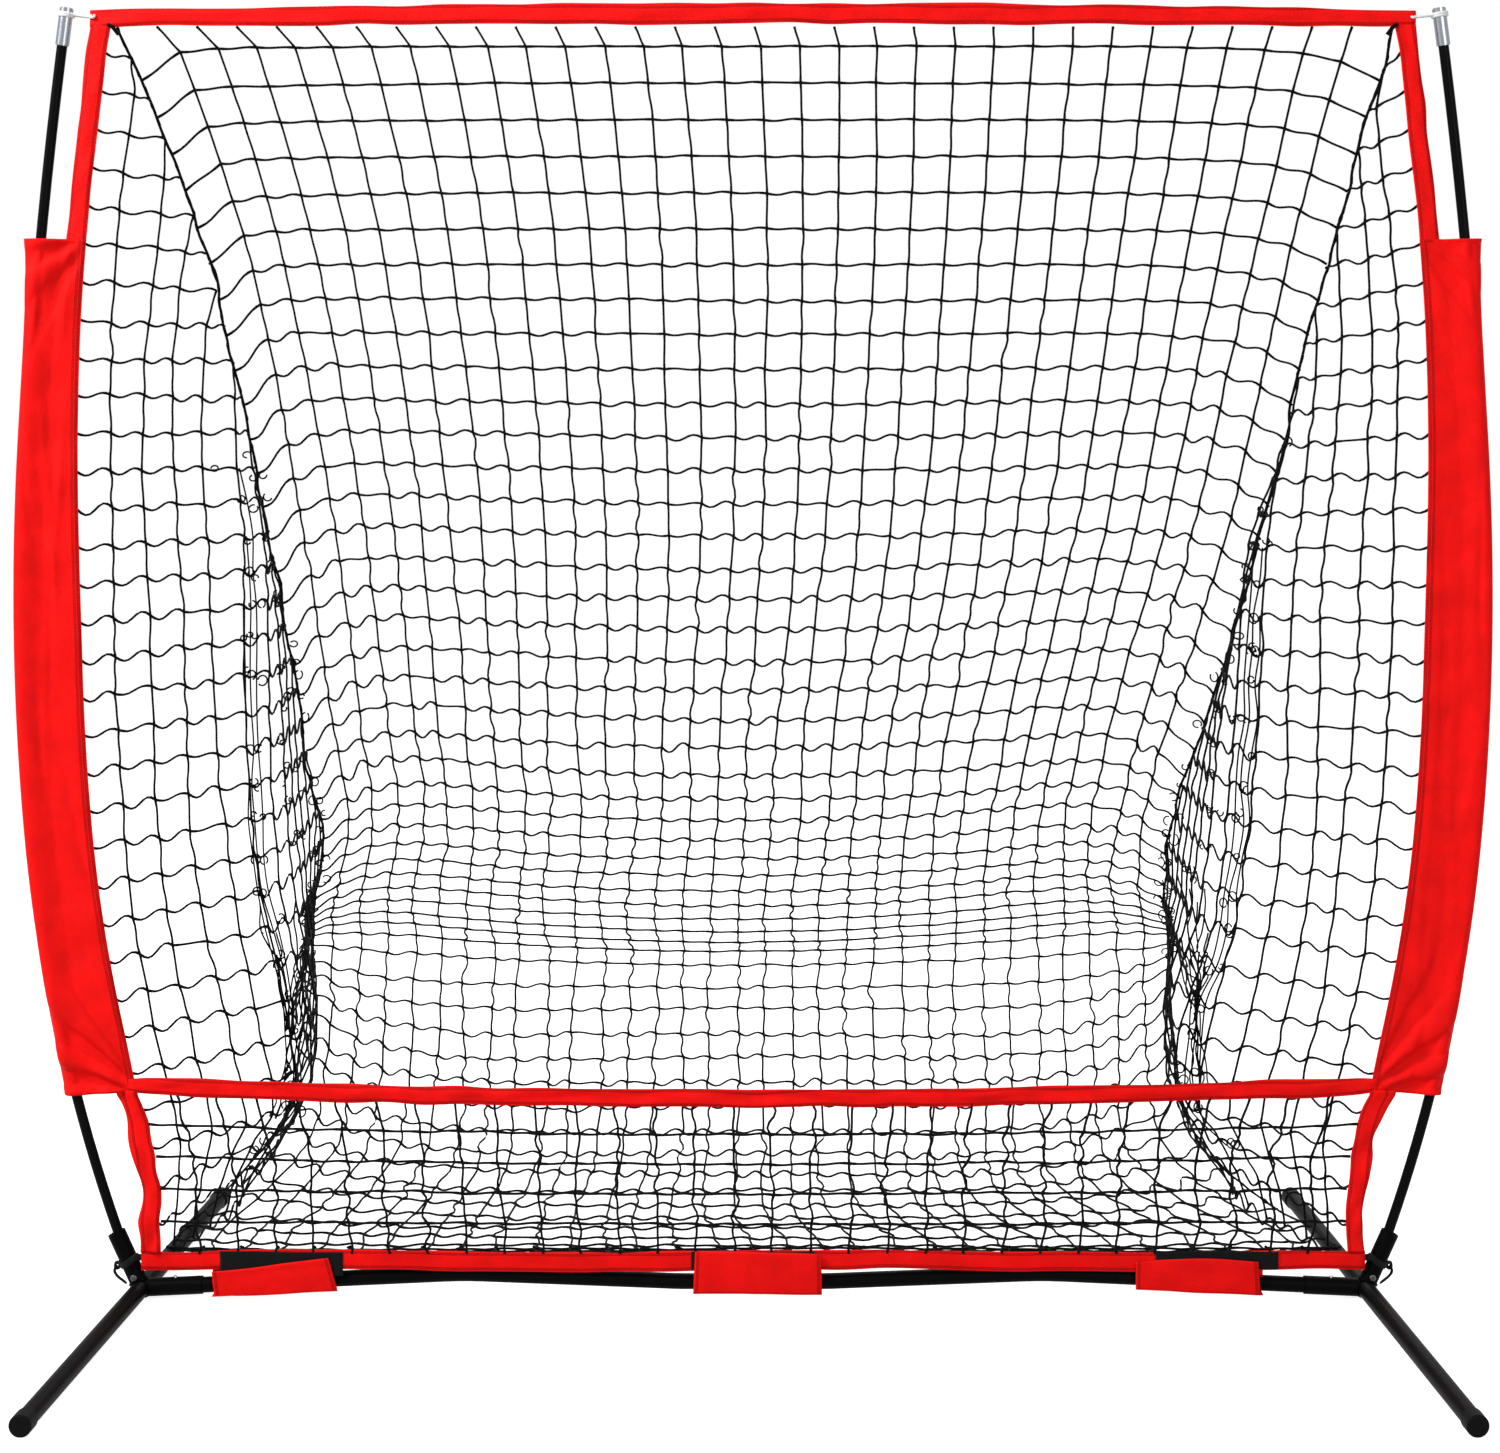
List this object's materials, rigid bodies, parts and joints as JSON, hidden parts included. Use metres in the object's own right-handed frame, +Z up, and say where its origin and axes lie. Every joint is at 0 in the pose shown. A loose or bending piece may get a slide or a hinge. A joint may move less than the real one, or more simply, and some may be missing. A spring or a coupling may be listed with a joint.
{
  "type": "pitching target net",
  "caption": "Free-standing ball net: two bowed poles on a steel base hold a fabric-edged frame with a hanging mesh bag that catches the ball and drops it into a pocket low down.",
  "frame": {"origin": "on the ground, at the middle of the whole footprint", "axes": "+X across the net to its right as seen by the thrower; +Y away from the thrower, into the bag; +Z up"},
  "size_m": [1.7988, 1.1685, 1.5783],
  "materials": {
    "powder_black": "black powder coat, satin",
    "foot_rubber": "dull black",
    "steel": "zinc-plated",
    "pole_black": "black glass-fibre rod with a resin skin",
    "cap_metal": "plain turned aluminium",
    "elastic_white": "white woven elastic cord",
    "red_fabric": "red woven polyester",
    "black_fabric": "black loop tape and webbing",
    "net_twine": "black knotted twine"
  },
  "bodies": {
    "frame": {"leg_left": "powder_black", "leg_right": "powder_black", "crossbar_stub_left": "powder_black", "crossbar_stub_right": "powder_black", "pole_socket_left": "powder_black", "pole_socket_right": "powder_black", "foot_cap_front_left": "foot_rubber", "foot_cap_front_right": "foot_rubber", "foot_cap_rear_left": "foot_rubber", "foot_cap_rear_right": "foot_rubber", "crossbar_left": "powder_black", "crossbar_right": "powder_black", "button_spring_left": "steel", "button_spring_right": "steel", "stop_screw_left": "steel", "stop_screw_right": "steel", "stop_nuts": "steel", "pole_lower_left": "pole_black", "pole_lower_right": "pole_black", "pole_middle_left": "pole_black", "pole_middle_right": "pole_black", "pole_upper_left": "pole_black", "pole_upper_right": "pole_black", "pole_ferrules_left": "cap_metal", "pole_ferrules_right": "cap_metal", "pole_cap_left": "cap_metal", "pole_cap_right": "cap_metal", "elastic_loop_left": "elastic_white", "elastic_loop_right": "elastic_white", "top_border": "red_fabric", "side_border_left": "red_fabric", "side_border_right": "red_fabric", "pole_pocket_left": "red_fabric", "pole_pocket_right": "red_fabric", "front_band": "red_fabric", "lower_border_left": "red_fabric", "lower_border_right": "red_fabric", "bottom_border": "red_fabric", "loop_strips": "black_fabric", "tab_wraps": "red_fabric", "corner_strap_left": "black_fabric", "corner_strap_right": "black_fabric", "net_back": "net_twine", "net_side_left": "net_twine", "net_side_right": "net_twine", "net_front_lower": "net_twine", "seam_rope_left": "net_twine", "seam_rope_right": "net_twine"},
    "snap_button_left body": {"snap_button_left": "steel"},
    "snap_button_right body": {"snap_button_right": "steel"},
    "tab_left body": {"tab_left": "red_fabric"},
    "tab_centre body": {"tab_centre": "red_fabric"},
    "tab_right body": {"tab_right": "red_fabric"}
  },
  "joints": [
    {"name": "snap_button_left_press", "type": "slide", "parent": "frame", "child": "snap_button_left body", "axis": [0.0454, 0, -0.999], "range_m": [0, 0.004], "stiffness_N_per_m": 2000, "springref_m": -0.002, "deforming": ["button_spring_left"]},
    {"name": "snap_button_right_press", "type": "slide", "parent": "frame", "child": "snap_button_right body", "axis": [-0.0454, 0, -0.999], "range_m": [0, 0.004], "stiffness_N_per_m": 2000, "springref_m": -0.002, "deforming": ["button_spring_right"]},
    {"name": "tab_left_peel", "type": "hinge", "parent": "frame", "child": "tab_left body", "pos_m": [-0.58552, -0.1442, 0.00886], "axis": [0.999, 0, 0.0454], "range_deg": [0, 100]},
    {"name": "tab_centre_peel", "type": "hinge", "parent": "frame", "child": "tab_centre body", "pos_m": [0.007, -0.1442, 0.00916], "axis": [1, 0, 0], "range_deg": [0, 100]},
    {"name": "tab_right_peel", "type": "hinge", "parent": "frame", "child": "tab_right body", "pos_m": [0.54752, -0.1442, 0.01058], "axis": [0.999, 0, -0.0454], "range_deg": [0, 100]}
  ]
}
